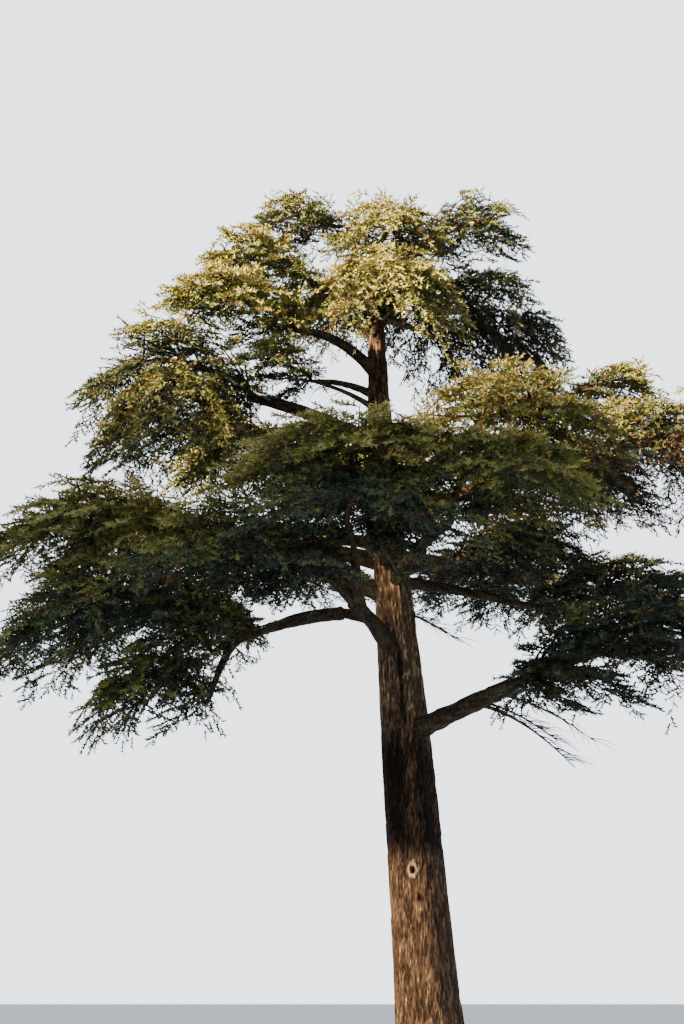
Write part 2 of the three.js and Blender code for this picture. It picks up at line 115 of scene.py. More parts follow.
# %% The limbs and masses
LIMB_COLUMNS = ["parent", "at", "heading", "reach", "rise", "arch", "girth"]
MASS_COLUMNS = ["length", "width", "depth", "droop", "turn", "climb"]
LIMB_ROWS = {
    "low_right": ["trunk", 6.7, -45, 2.9, 0.65, 0, 0.26, 5.6, 4.2, 2.5, 0.45, 32, 0.12],
    "low_right_back": ["trunk", 10.1, 16, 3.3, -0.35, 0.05, 0.13, 4.4, 3.6, 2.1, 0.6, 0, 0],
    "low_left": ["trunk", 9.0, 168, 3.0, 0.1, 0.4, 0.14, 4.6, 3.4, 1.8, 0.9, 8, -0.04],
    "low_front_left": ["trunk", 8.4, 238, 2.7, 1.1, 0.1, 0.2, 4.6, 4.2, 1.7, 0.6, -22, -0.05],
    "low_front": ["low_front_left", 0.62, 268, 1.9, 0.5, 0.1, 0.15, 4.2, 4.2, 1.5, 0.6, 0, 0],
    "left_low": ["trunk", 9.7, 189, 4.0, 0.8, 0.2, 0.2, 4.9, 4.2, 1.8, 0.9, 0, 0],
    "left_front_low": ["low_left", 0.4, 208, 2.9, -1.1, 0.1, 0.12, 4.8, 4.2, 2.2, 1.2, -8, -0.05],
    "left_hanging": ["left_front_low", 0.88, 232, 0.7, -1.3, 0.1, 0.1, 2.7, 2.8, 1.7, 0.7, -17, -0.2],
    "front": ["trunk", 10.4, 260, 3.0, 0.3, 0.2, 0.19, 4.2, 4.8, 1.6, 0.7, 0, 0],
    "front_right": ["trunk", 9.9, 288, 3.2, 0.5, 0.2, 0.18, 4.0, 4.2, 1.6, 0.7, 0, 0],
    "dome_right": ["trunk", 11.95, 300, 2.3, 0.05, 0.2, 0.17, 4.2, 4.2, 1.8, 0.6, 6, 0.05],
    "right_upper": ["trunk", 11.3, -15, 3.9, 1.0, 0.25, 0.22, 4.8, 4.2, 2.2, 0.6, 8, 0],
    "right_leader": ["right_upper", 0.93, 30, 0.85, 2.0, 0, 0.1, 2.3, 2.2, 1.3, 0.4, 0, 0.15],
    "mid_right": ["trunk", 10.6, -4, 1.3, -0.1, 0.05, 0.15, 3.2, 3.0, 1.3, 0.6, 0, -0.03],
    "left_upper": ["trunk", 13.15, 187, 2.75, 1.1, 0.15, 0.21, 4.1, 4.2, 2.4, 1.0, 0, 0],
    "left_upper_low": ["trunk", 12.2, 199, 3.35, 0.7, 0.25, 0.17, 3.4, 3.6, 2.3, 1.5, 0, -0.14],
    "left_inner": ["trunk", 14.45, 194, 1.4, 0.25, 0.1, 0.1, 2.6, 2.4, 1.1, 0.5, 0, 0],
    "left_high": ["trunk", 15.0, 198, 1.8, 0.85, 0.25, 0.14, 3.6, 3.2, 1.6, 0.7, 0, 0],
    "top_left": ["trunk", 16.0, 178, 1.5, 1.4, -0.08, 0.16, 2.7, 2.8, 1.5, 0.4, 12, 0.1],
    "top_left_leader": ["trunk", 16.5, 158, 0.7, 2.4, 0, 0.1, 2.5, 2.4, 1.5, 0.4, 10, 0.1],
    "top_right_weeping": ["trunk", 16.4, 30, 1.0, 0.7, 0.1, 0.12, 4.2, 3.8, 3.0, 1.1, 0, -0.25],
    "top_right": ["trunk", 16.9, 6, 0.9, 1.2, 0.1, 0.1, 2.8, 3.0, 1.8, 0.8, -8, 0.1],
    "back_right_low": ["trunk", 10.2, 60, 3.6, 1.1, 0.2, 0.18, 4.6, 4.4, 1.7, 0.7, 0, 0],
    "back_left_low": ["trunk", 10.8, 118, 3.8, 1.1, 0.2, 0.18, 4.6, 4.4, 1.7, 0.7, 0, 0],
    "left_back_low": ["trunk", 10.45, 153, 4.3, 1.0, 0.2, 0.18, 4.6, 4.2, 1.7, 0.8, 0, 0],
    "back_upper": ["trunk", 12.85, 96, 3.0, 0.9, 0.2, 0.16, 4.2, 4.2, 2.2, 0.8, 0, 0],
    "back_right_upper": ["trunk", 12.3, 38, 3.5, 1.0, 0.2, 0.17, 4.4, 4.2, 1.8, 0.8, 0, 0],
    "back_left_upper": ["trunk", 13.6, 136, 2.7, 0.2, 0.2, 0.15, 4.0, 3.8, 1.8, 0.8, 0, 0],
}
LIMBS = {name: dict(zip(LIMB_COLUMNS + MASS_COLUMNS, row)) for name, row in LIMB_ROWS.items()}
TRUNK_MASSES = [
    dict(name="top_dome", heading=285,
         length=2.6, width=2.8, depth=1.7, droop=0.5, climb=0),
    dict(name="top_cascade", height=16.7, heading=281,
         length=3.0, width=3.2, depth=1.7, droop=1.1, climb=-0.3),
    dict(name="top_back", height=17.1, heading=106,
         length=4.0, width=3.4, depth=2.1, droop=0.8, climb=0.12),
]
print(len(LIMBS), "boughs and", len(LIMBS) + len(TRUNK_MASSES), "masses of foliage")

# %% [markdown]
# ## Helpers for shapes
#
# A tree is thousands of small, similar things, so each kind is made as one large array and joined into a few
# meshes. Three helpers do most of it: random numbers that follow from a seed, smooth noise, and tubes along
# paths.

# %% Random numbers and directions
UP = np.array([0.0, 0.0, 1.0])


def numbers_from(seed, *shape):
    """Numbers in [0, 1) that follow from a seed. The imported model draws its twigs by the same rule."""
    count = int(np.prod(shape))
    state = (seed + 0x6D2B79F5 * np.arange(1, count + 1, dtype=np.uint64)).astype(np.uint32)
    mixed = (state ^ (state >> 15)) * (state | 1)
    mixed ^= mixed + (mixed ^ (mixed >> 7)) * (mixed | 61)
    return ((mixed ^ (mixed >> 14)) / 2**32).reshape(shape)


def level(heading):
    """The level direction (cos h, sin h, 0) at a heading h in degrees."""
    angle = np.radians(heading)
    return np.array([np.cos(angle), np.sin(angle), 0.0])


def unit(vectors):
    """Each vector divided by its own length."""
    return vectors / np.maximum(np.linalg.norm(vectors, axis=-1, keepdims=True), 1e-9)


def swing(first, second, angle):
    """The first direction turned towards the second: first cos a + second sin a."""
    return first * np.cos(angle)[..., None] + second * np.sin(angle)[..., None]


print("first numbers of seed 101:", numbers_from(101, 3).round(3))

# %% Smooth noise


def corner_numbers(cells, seed):
    """A number in [0, 1) for each whole-numbered corner of a grid, scrambled from its three coordinates."""
    x, y, z = (cells[..., k].astype(np.int64).astype(np.uint32) for k in range(3))
    mixed = x * 374761393 + y * 668265263 + z * 2147483647 + np.uint32(seed * 974711)
    mixed = (mixed ^ (mixed >> 13)) * np.uint32(1274126177)
    return (mixed ^ (mixed >> 16)) / 2**32


def noise(points, size, seed):
    """Numbers on the corners of boxes of that size, blended inside each by 3t^2 - 2t^3 along x, y and z."""
    scaled = points / np.asarray(size)
    cell = np.floor(scaled)
    t = scaled - cell
    t = t * t * (3 - 2 * t)
    total = 0.0
    for corner in np.ndindex(2, 2, 2):
        weight = np.prod(np.where(corner, t, 1 - t), axis=-1)
        total = total + weight * corner_numbers(cell + corner, seed)
    return total


def smooth_step(low, high, values):
    """0 below low, 1 above high and 3t^2 - 2t^3 between. With low above high it falls from 1 to 0."""
    t = np.clip((values - low) / (high - low), 0, 1)
    return t * t * (3 - 2 * t)


# %% Tubes and meshes


def ring_wall(rings, sides):
    """The triangles between neighbouring rings of `sides` points each."""
    ring, side = np.meshgrid(np.arange(rings - 1), np.arange(sides), indexing="ij")
    a = ring * sides + side
    b = ring * sides + (side + 1) % sides
    return np.stack([a, b, b + sides, a, b + sides, a + sides], axis=-1).reshape(-1, 3)


def tubes(points, radii, sides):
    """Many tubes at once, as vertices and triangles.

    points is (tubes, rings, 3), and radii is (tubes, rings) or (rings,). With T the path's direction, A = T x
    reference and B = T x A, ring k holds point[k] + radius (A cos a + B sin a) for `sides` angles a. Each end
    is closed by a fan of triangles.
    """
    count, rings = points.shape[:2]
    radii = np.broadcast_to(radii, (count, rings))
    direction = unit(np.gradient(points, axis=1))
    run = unit(points[:, -1] - points[:, 0])
    reference = np.where(np.abs(run[:, 2:]) > 0.9, [1.0, 0.0, 0.0], UP)
    across = unit(np.cross(direction, reference[:, None]))
    outward = np.cross(direction, across)
    angle = np.arange(sides) * 2 * np.pi / sides
    spoke = swing(across[:, :, None], outward[:, :, None], angle)
    vertices = points[:, :, None] + radii[:, :, None, None] * spoke
    fan = np.arange(1, sides - 1)
    start = np.stack([np.zeros_like(fan), fan + 1, fan], axis=-1)
    end = np.stack([np.zeros_like(fan), fan, fan + 1], axis=-1) + (rings - 1) * sides
    one = np.concatenate([ring_wall(rings, sides), start, end])
    faces = one[None] + (np.arange(count) * rings * sides)[:, None, None]
    return vertices.reshape(-1, 3), faces.reshape(-1, 3)


def joined(parts):
    """Several (vertices, faces) pairs as one, with the face numbers moved on."""
    starts = np.cumsum([0] + [len(vertices) for vertices, _ in parts[:-1]])
    faces = [faces + start for (_, faces), start in zip(parts, starts)]
    return np.concatenate([vertices for vertices, _ in parts]), np.concatenate(faces)


def add_piece(name, vertices, faces, material, slot, smooth, stands_for=()):
    """A mesh at the origin that rides on the tree and stands for CAD nodes; the slot is not used."""
    mesh = bpy.data.meshes.new(name)
    mesh.vertices.add(len(vertices))
    mesh.vertices.foreach_set("co", vertices.astype(np.float32).ravel())
    mesh.loops.add(faces.size)
    mesh.loops.foreach_set("vertex_index", faces.astype(np.int32).ravel())
    mesh.polygons.add(len(faces))
    mesh.polygons.foreach_set("loop_start", np.arange(0, faces.size, 3, dtype=np.int32))
    mesh.polygons.foreach_set("use_smooth", np.full(len(faces), smooth))
    mesh.update(calc_edges=True)
    mesh.materials.append(material)
    piece = bpy.data.objects.new(name, mesh)
    bpy.context.scene.collection.objects.link(piece)
    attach(piece, "root")
    if stands_for:
        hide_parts(*stands_for)
    print(f"{name}: {len(faces)} triangles")
    return piece


# %% [markdown]
# ## Helpers for materials
#
# Colours are written as sRGB hex values, as a colour picker shows them, and one function turns them to the
# linear values that the shader needs. Another adds one node with its settings and links, so that each
# material below reads as a short list of what it is made of.

# %% Colours and nodes


def linear(hex_colour):
    """An sRGB hex colour as linear red, green, blue and alpha: ((c + 0.055) / 1.055)^2.4, or c / 12.92."""
    srgb = np.array([int(hex_colour[k : k + 2], 16) / 255 for k in (1, 3, 5)])
    return (*np.where(srgb > 0.04045, ((srgb + 0.055) / 1.055) ** 2.4, srgb / 12.92), 1.0)


def add_node(owner, kind, inputs, **settings):
    """One node with its settings; an input that is a socket is linked, and any other is set."""
    node = owner.node_tree.nodes.new("ShaderNode" + kind)
    for key, value in settings.items():
        setattr(node, key, value)
    for key, value in inputs.items():
        if isinstance(value, bpy.types.NodeSocket):
            owner.node_tree.links.new(value, node.inputs[key])
        else:
            node.inputs[key].default_value = value
    return node


def new_material(name, roughness, specular):
    """A material with its Principled shader, of that roughness and that specular level."""
    material = bpy.data.materials.new(name)
    material.use_nodes = True
    shader = material.node_tree.nodes["Principled BSDF"]
    shader.inputs["Roughness"].default_value = roughness
    shader.inputs["Specular IOR Level"].default_value = specular
    return material, shader


def colour_band(material, value, stops):
    """A colour ramp over (position, hex colour) stops, driven by a socket."""
    ramp = add_node(material, "ValToRGB", {"Fac": value})
    elements = ramp.color_ramp.elements
    while len(elements) < len(stops):
        elements.new(0.5)
    for element, (position, hex_colour) in zip(elements, stops):
        element.position = position
        element.color = linear(hex_colour)
    return ramp.outputs["Color"]


def noise_value(material, vector, size, detail):
    """A noise texture whose features have that size in metres, as a value socket."""
    inputs = {"Vector": vector, "Scale": 1 / size, "Detail": detail}
    return add_node(material, "TexNoise", inputs).outputs["Fac"]


def calculated(material, operation, *values):
    """One calculation on sockets and numbers, as a value socket."""
    return add_node(material, "Math", dict(enumerate(values)), operation=operation).outputs["Value"]


def flecked(name, roughness, specular, fleck, darker, lighter):
    """A material whose colour wanders between two near tints, in flecks of that size in metres."""
    material, shader = new_material(name, roughness, specular)
    place = add_node(material, "TexCoord", {}).outputs["Object"]
    flecks = noise_value(material, place, fleck, 2.0)
    colour = colour_band(material, flecks, [(0.35, darker), (0.65, lighter)])
    material.node_tree.links.new(colour, shader.inputs["Base Color"])
    return material


print("white in linear values:", linear("#ffffff")[:3])

# %% [markdown]
# ## Cedar bark
#
# Old cedar bark is cork that has split into long upright plates as the trunk grew under it. Weathered cork is
# grey-brown and quite matt; the sheltered fissures are dark, and high on the trunk fresh red-brown bark
# shows where plates have flaked off. The plates are real relief in the mesh, because they show at the trunk's
# edge. Each vertex carries how high its bark stands, and the material reads it, so that colour follows the
# relief, from a fissure through a plate to the pale bare wood round a wound. The cork of a plate is itself
# cracked into flakes about 28 mm wide, which are too small for the mesh, so the material adds them as flecks
# with a bump.

# %% The bark material
PLATE_WIDTH = 0.045
PLATE_STRETCH = 5
FISSURE_HEIGHT = 0.42
PLATE_HEIGHT = 0.7
FLAKE_SIZE = 0.028
FLAKE_STRETCH = 5
FLAKE_SHARE = 1.5
PATCH_SIZE = 0.6


def bark_material(name, stops, flaked, flaked_from, flaked_to):
    """Cork over fissures: the stops colour it, and `flaked` shows in patches, more of them higher up."""
    material, shader = new_material(name, roughness=0.92, specular=0.2)
    place = add_node(material, "TexCoord", {}).outputs["Object"]
    plate = add_node(material, "Attribute", {}, attribute_name="plate").outputs["Fac"]
    upright = add_node(material, "Mapping", {"Vector": place, "Scale": (1, 1, 1 / FLAKE_STRETCH)})
    flakes = noise_value(material, upright.outputs["Vector"], FLAKE_SIZE, 3.0)
    shade = calculated(material, "MULTIPLY_ADD", flakes, FLAKE_SHARE, -FLAKE_SHARE / 2)
    weathered = colour_band(material, calculated(material, "ADD", plate, shade), stops)
    height = add_node(material, "SeparateXYZ", {"Vector": place}).outputs["Z"]
    range_inputs = {"Value": height, "From Min": flaked_from, "From Max": flaked_to}
    high = add_node(material, "MapRange", range_inputs | {"To Min": -0.45, "To Max": 0.12}).outputs["Result"]
    where = calculated(material, "ADD", noise_value(material, place, PATCH_SIZE, 3.0), high)
    fresh = colour_band(material, where, [(0.45, "#000000"), (0.62, "#ffffff")])
    colour = add_node(material, "Mix", {0: fresh, 6: weathered, 7: linear(flaked)}, data_type="RGBA")
    bump = add_node(material, "Bump", {"Height": flakes, "Strength": 0.7, "Distance": 0.02})
    material.node_tree.links.new(colour.outputs[2], shader.inputs["Base Color"])
    material.node_tree.links.new(bump.outputs["Normal"], shader.inputs["Normal"])
    return material


TRUNK_STOPS = [(0.15, "#1a130e"), (0.45, "#433226"), (0.65, "#644d3a"), (0.85, "#7d644e"), (1.0, "#cdb08c")]
BOUGH_STOPS = [(0.1, "#120f0c"), (0.45, "#2e2720"), (0.75, "#514434"), (1.0, "#6c5b46")]
trunk_bark = bark_material("weathered cedar bark", TRUNK_STOPS, "#59392a", 12.5, 17.0)
bough_bark = bark_material("dark cedar bark", BOUGH_STOPS, "#54402c", 13.0, 20.0)
print("two bark materials")

# %% The relief of bark


def bark_relief(points, seed):
    """How far each point of the bark lies between fissure (0) and plate (1).

    Plates are the high parts of a noise in boxes PLATE_STRETCH times as long as wide, cut by long fissures
    where a coarser noise is near 1/2: smooth_step(0.35, 0.6, fine) (0.3 + 0.7 smooth_step(0, 0.08,
    |coarse - 1/2|)). Each column is first shifted up by a slow noise, so that the boxes' ends make no rows.
    """
    box = np.array([PLATE_WIDTH, PLATE_WIDTH, PLATE_WIDTH * PLATE_STRETCH])
    shift = 3 * box[2] * noise(points, box * [2, 2, 9], seed + 2)
    shifted = points + UP * shift[..., None]
    plates = smooth_step(0.35, 0.6, noise(shifted, box, seed))
    between = smooth_step(0.0, 0.08, np.abs(noise(shifted, box * [2.6, 2.6, 8], seed + 1) - 0.5))
    return plates * (0.3 + 0.7 * between)


def set_plate(piece, values):
    """Writes the bark's height, FISSURE_HEIGHT to PLATE_HEIGHT, as a vertex attribute for its material."""
    # On the trunk these heights also hold painted shade and painted light.
    height = FISSURE_HEIGHT + (PLATE_HEIGHT - FISSURE_HEIGHT) * values
    attribute = piece.data.attributes.new("plate", "FLOAT", "POINT")
    attribute.data.foreach_set("value", height.astype(np.float32).ravel())


print("plates", round(1000 * PLATE_WIDTH), "mm wide")

# %% [markdown]
# ## The trunk
#
# The trunk is one surface: rings at heights z and directions a round its middle. Its middle leans to the left
# and straightens near the top. Its radius is a taper, times five shallow lobes that turn into root
# buttresses, plus a flare that fades in the first metre. A pruned bough has left a round wound on the front:
# a pale rolled collar round a small dark hollow. A smaller one below it has all but closed. Under the lowest
# bough a long band of the bark is painted dark as shade, in five upright stripes round the trunk. Above it a
# band is painted paler as light, with a seam between the swellings under two boughs that is carved in and
# painted dark as shade. The top of the trunk is painted darker as shade. All of these are added to the height
# that the material reads, which makes them darker or paler.

# %% Trunk sizes
TRUNK_TIP = 17.7
TRUNK_VANISH = 19.6
TRUNK_RADIUS = 0.68
TAPER_POWER = 0.75
LEAN = 0.0685
LEAN_EASES = 12.0
UPRIGHT_FROM = 16.8
FLUTES = 5
FLUTE_DEPTH = 0.06
FLUTES_DEEPEN_AT = 6.5
FLUTES_DEEPEN_OVER = 2.0
FLUTE_AT = np.radians(-104)
FLARE = 0.36
FLARE_HEIGHT = 0.42
FISSURE_DEPTH = 0.016
WOUNDS = [
    dict(height=3.9, heading=-99, radius=0.115, collar=0.06, hollow=0.12, pale=2.2),
    dict(height=3.35, heading=-86, radius=0.16, collar=0.015, hollow=0.045, pale=0.4),
]
# Painted shade: a band under the lowest bough is darkened, in five upright stripes round the trunk.
PAINTED_SHADE_FROM = [4.1, 4.6]
PAINTED_SHADE_TO = [6.9, 6.2]
PAINTED_SHADE_DARKER = 1.9
PAINTED_SHADE_SWING = 0.35
# The angle where the stripes of painted shade are weakest.
LEAST_SHADE_AT = np.radians(-88)
# Painted light: a band above the painted shade is made paler.
PAINTED_LIGHT_FROM = [6.9, 7.4]
PAINTED_LIGHT_TO = [10.5, 9.5]
PAINTED_LIGHT_AMOUNT = 0.45
# Painted shade: the top of the trunk is darker.
TOP_SHADE_FROM = [12.5, 14.0]
TOP_SHADE_DARKER = 0.6
SEAM_AT = np.radians(-92)
SEAM_FROM = [6.7, 7.1]
SEAM_TO = [8.8, 8.4]
SEAM_WIDTH = 0.11
SEAM_DEPTH = 0.03
# Painted shade darkens the seam's groove as well as carving it.
SEAM_PAINTED_SHADE = 1.9


def trunk_middle(z):
    """The trunk's middle at heights z: x = -LEAN z up to 12 m, then easing until it is upright; y = 0."""
    z = np.asarray(z, float)
    ease = np.clip(z - LEAN_EASES, 0, UPRIGHT_FROM - LEAN_EASES)
    x = -LEAN * (np.minimum(z, LEAN_EASES) + ease - ease**2 / (2 * (UPRIGHT_FROM - LEAN_EASES)))
    return np.stack([x, np.zeros_like(x), z], axis=-1)


def trunk_radius(z, angle):
    """taper (1 + depth lobe) + flare (0.6 + 0.4 lobe) exp(-z / height), with lobe = -cos(5 (a - groove)).

    The lobes' depth is doubled at 6.5 m, where the low boughs fork off, and falls back to both sides.
    """
    lobe = -np.cos(FLUTES * (angle - FLUTE_AT))
    taper = TRUNK_RADIUS * (1 - z / TRUNK_VANISH) ** TAPER_POWER
    depth = FLUTE_DEPTH * (1 + np.exp(-(((z - FLUTES_DEEPEN_AT) / FLUTES_DEEPEN_OVER) ** 2)))
    return taper * (1 + depth * lobe) + FLARE * (0.6 + 0.4 * lobe) * np.exp(-z / FLARE_HEIGHT)


print("trunk", round(2 * float(trunk_radius(1.0, 0.0)), 2), "m across at 1 m above the ground")

# %% The trunk's rings
TRUNK_SEED = 11
TRUNK_RINGS = 390
TRUNK_SIDES = 224
RINGS_GATHER = 1.25

height = TRUNK_TIP * np.linspace(0, 1, TRUNK_RINGS) ** RINGS_GATHER
angle = np.arange(TRUNK_SIDES) * 2 * np.pi / TRUNK_SIDES
z, a = np.meshgrid(height, angle, indexing="ij")
radius = trunk_radius(z, a)
spoke = np.stack([np.cos(a), np.sin(a), np.zeros_like(a)], axis=-1)
plate = bark_relief(trunk_middle(z) + radius[..., None] * spoke, TRUNK_SEED)
radius += FISSURE_DEPTH * (plate - 1) * smooth_step(0, 0.3, radius)
print(TRUNK_RINGS, "rings of", TRUNK_SIDES, "points")

# %% [markdown]
# A wound's own distance, `away`, is 1 at its edge. The collar is exp(-((away - 0.85) / 0.4)^2), the hollow
# lies inside it, and the plates fade out towards both. The wound is drawn a little narrower than high.

# %% Wounds, painted shade and light, and the seam
COLLAR_AT = 0.85
COLLAR_WIDE = 0.4
HOLLOW_EDGE = [0.6, 0.2]
PLATES_FROM = [0.3, 1.4]

for wound in WOUNDS:
    turned = np.angle(np.exp(1j * (a - np.radians(wound["heading"]))))
    sideways = turned * radius / (0.8 * wound["radius"])
    away = np.hypot(sideways, (z - wound["height"]) / (1.2 * wound["radius"]))
    collar = np.exp(-(((away - COLLAR_AT) / COLLAR_WIDE) ** 2))
    radius += wound["collar"] * collar - wound["hollow"] * smooth_step(*HOLLOW_EDGE, away)
    plate = plate * smooth_step(*PLATES_FROM, away) + wound["pale"] * collar
# Painted shade under the lowest bough, in five upright stripes that are weakest at one angle.
painted_shade = smooth_step(*PAINTED_SHADE_FROM, z) * smooth_step(*PAINTED_SHADE_TO, z)
plate = plate - PAINTED_SHADE_DARKER * painted_shade * (1 - PAINTED_SHADE_SWING - PAINTED_SHADE_SWING * np.cos(FLUTES * (a - LEAST_SHADE_AT)))
# Painted light on the band above the painted shade.
plate = plate + PAINTED_LIGHT_AMOUNT * smooth_step(*PAINTED_LIGHT_FROM, z) * smooth_step(*PAINTED_LIGHT_TO, z)
# Painted shade at the top of the trunk.
plate = plate - TOP_SHADE_DARKER * smooth_step(*TOP_SHADE_FROM, z)
turned = np.angle(np.exp(1j * (a - SEAM_AT)))
seam = np.exp(-((turned / SEAM_WIDTH) ** 2)) * smooth_step(*SEAM_FROM, z) * smooth_step(*SEAM_TO, z)
radius -= SEAM_DEPTH * seam
# Painted shade in the seam's groove.
plate = plate - SEAM_PAINTED_SHADE * seam
print("bark heights from", plate.min().round(2), "to", plate.max().round(2))

# %% Build the trunk
rim = trunk_middle(z) + radius[..., None] * spoke
around = np.arange(TRUNK_SIDES)
following = (around + 1) % TRUNK_SIDES
low_middle = np.full(TRUNK_SIDES, TRUNK_RINGS * TRUNK_SIDES)
last = (TRUNK_RINGS - 1) * TRUNK_SIDES
foot = np.stack([low_middle, following, around], axis=-1)
head = np.stack([low_middle + 1, last + around, last + following], axis=-1)
vertices = np.concatenate([rim.reshape(-1, 3), trunk_middle([0.0, TRUNK_TIP])])
faces = np.concatenate([ring_wall(TRUNK_RINGS, TRUNK_SIDES), foot, head])
trunk = add_piece("trunk_bark", vertices, faces, trunk_bark, "trunk_bark", True, ["trunk"])
set_plate(trunk, np.append(plate.ravel(), [0.5, 0.5]))

# %% [markdown]
# ## The boughs
#
# A bough leaves the trunk in a swollen collar and runs out in a slow arch. Its bark has the trunk's plates,
# only darker, because it stands in the shade of the foliage above. All boughs are tubes of one function,
# joined in one mesh. The noise that makes their plates is laid along each bough as if it were unrolled.

# %% Bough paths
BOUGH_THINS = 0.42
COLLAR_SWELL = 0.4
COLLAR_SHARE = 0.1
PATHS = {}


def limb_path(row):
    """place(s) = root + reach s along the heading + (rise s + 4 arch s (1 - s)) up, and its radius at s."""
    carrier = trunk_middle if row["parent"] == "trunk" else PATHS[row["parent"]][0]
    root = carrier(row["at"])

    def place(s):
        s = np.asarray(s, float)[..., None]
        upward = row["rise"] * s + 4 * row["arch"] * s * (1 - s)
        return root + level(row["heading"]) * row["reach"] * s + UP * upward

    def thickness(s):
        return row["girth"] * (1 - BOUGH_THINS * s) * (1 + COLLAR_SWELL * np.exp(-s / COLLAR_SHARE))

    return place, thickness


for name, row in LIMBS.items():
    PATHS[name] = limb_path(row)
print(len(PATHS), "bough paths")

# %% Build the boughs
BOUGH_RINGS = 44
BOUGH_SIDES = 20
BOUGH_SEED = 23
BOUGH_UNROLLED = 3.5
BOUGH_FISSURE = 0.09
KNUCKLE_SEED = 31
KNUCKLE_SIZE = 0.55

share = np.linspace(0, 1, BOUGH_RINGS)
path = np.stack([place(share) for place, _ in PATHS.values()])
radius = np.stack([thickness(share) for _, thickness in PATHS.values()])
smooth_vertices, faces = tubes(path, radius, BOUGH_SIDES)
ring_middle = np.repeat(path.reshape(-1, 3), BOUGH_SIDES, axis=0)
spoke = smooth_vertices - ring_middle
along = np.repeat(np.tile(share * BOUGH_UNROLLED, len(PATHS)), BOUGH_SIDES)
unrolled = np.stack([spoke[:, 0], spoke[:, 1], along + spoke[:, 2] * PLATE_STRETCH], axis=-1)
plate = bark_relief(unrolled, BOUGH_SEED)
knuckle = 0.9 + 0.22 * noise(ring_middle, KNUCKLE_SIZE, KNUCKLE_SEED)
vertices = ring_middle + spoke * (knuckle * (1 - BOUGH_FISSURE * (1 - plate)))[:, None]
bough_nodes = ["bough_" + name for name in LIMBS]
boughs = add_piece("bough_bark", vertices, faces, bough_bark, "bough_bark", True, bough_nodes)
set_plate(boughs, plate)

# %% [markdown]
# ## The space of a mass
#
# Each mass of foliage keeps to its own space: a flattened dome whose rim droops. Three numbers u, v and w,
# from -1 to 1, say where a point is along, across and up that dome. The stem enters at the near rim and runs
# through the middle. A point belongs to the mass whose dome it lies deepest in, so neighbouring masses never
# tangle.

# %% Spaces
STEM_FROM = -0.92
STEM_SHARE = 0.84
TRUNK_STEM = 0.09
FIRST_SEED = 101


class Mass:
    """One mass: where its stem starts, in which direction and how thick, and the dome it fills."""

    def __init__(self, name, row, heading, root, direction, tip_radius, seed):
        self.name = name
        self.seed = seed
        self.root = root
        self.direction = direction
        self.radius = STEM_SHARE * tip_radius
        self.half = np.array([row["length"], row["width"], row["depth"]]) / 2
        self.spread = self.half[:2].mean()
        self.droop = row["droop"]
        self.climb = row["climb"]
        self.along = level(heading)
        self.across = level(heading + 90)
        start = -STEM_FROM * self.half[0] * (self.along + UP * self.climb)
        self.centre = root + start + UP * self.droop * STEM_FROM**2

    def at(self, u, v, w):
        """centre + along u + across v + up (w + climb u - droop (u^2 + v^2)), each by its half size."""
        u, v, w = (np.asarray(value, float)[..., None] for value in (u, v, w))
        upward = w * self.half[2] + u * self.half[0] * self.climb - self.droop * (u * u + v * v)
        return self.centre + self.along * u * self.half[0] + self.across * v * self.half[1] + UP * upward

    def inside(self, points):
        """The (u, v, w) of points: the same formula, solved the other way."""
        offset = points - self.centre
        u = offset @ self.along / self.half[0]
        v = offset @ self.across / self.half[1]
        upward = offset[..., 2] - u * self.half[0] * self.climb + self.droop * (u * u + v * v)
        return np.stack([u, v, upward / self.half[2]], axis=-1)

    def fill(self, points):
        """u^2 + v^2 + w^2, which is 1 on the dome's surface."""
        return np.sum(self.inside(points) ** 2, axis=-1)


masses = []
for name, row in LIMBS.items():
    place, thickness = PATHS[name]
    end = unit(place(1.0) - place(0.95))
    seed = FIRST_SEED + len(masses)
    masses.append(Mass(name, row, row["heading"] + row["turn"], place(1.0), end, thickness(1.0), seed))
for row in TRUNK_MASSES:
    root = trunk_middle(row.get("height", TRUNK_TIP))
    direction = level(row["heading"]) if "height" in row else UP
    seed = FIRST_SEED + len(masses)
    masses.append(Mass(row["name"], row, row["heading"], root, direction, TRUNK_STEM, seed))
print(len(masses), "spaces")

# %% Which space a point is in
STANDS_PROUD = 0.022
BOX_LOW, BOX_HIGH = np.array(CAD_BOX)
PROUD = STANDS_PROUD * (BOX_HIGH - BOX_LOW)


def own(mass, points, limit):
    """True where points lie in the mass's dome, up to a limit of fill, in no other more deeply, and no more
    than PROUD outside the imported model's box."""
    fill = mass.fill(points)
    others = np.min([other.fill(points) for other in masses if other is not mass], axis=0)
    boxed = np.all((points > BOX_LOW - PROUD) & (points < BOX_HIGH + PROUD), axis=-1)
    return (fill < limit) & (fill < others) & boxed


print("needles may stand out of the box by", PROUD.round(2), "m")

# %% [markdown]
# ## Stems, ribs and twigs
#
# Inside a mass the wood branches twice. Ribs leave the stem on the left and right by turns and head for a
# place on the dome, in flat tiers one above the other, which is what gives a cedar its shelves. The packed
# model draws ten of them; this script draws those same ten, by the same numbers, and fills in finer ones
# between. From each rib, twigs leave on both sides in the tier's plane. Most are nearly level, some weep, and
# the last one of each rib runs on past the rim as a spiky leader.

# %% Stems and ribs
SOURCE_RIBS = 8
SOURCE_TIERS = [-20, 30]
CREST_AND_END = np.array([[0.3, 0.1, 0.94], [1.0, 0.0, 0.0]])
CREST_AND_END_START = [-0.5, 0.45]
FINE_PAIRS_PER_METRE = 6.5
FINE_TIERS = [-26, 2, 24, 50]
HANGING_TIERS = [-56, -26, 0, 24, 50]
HANGING = ["top_right_weeping", "top_right", "top_cascade", "left_upper", "left_upper_low", "dome_right"]
RIB_FIRST = 150
RIB_SWEEP = 135
RIB_UNEVEN = 16
RIB_RISE_UNEVEN = 14
STEM_BEND = 0.06
LAYER_GAP = 0.36
LAYER_PULL = 0.85


def bend(u):
    """The stem's slow sideways sweep."""
    return STEM_BEND * np.sin(4 * u)


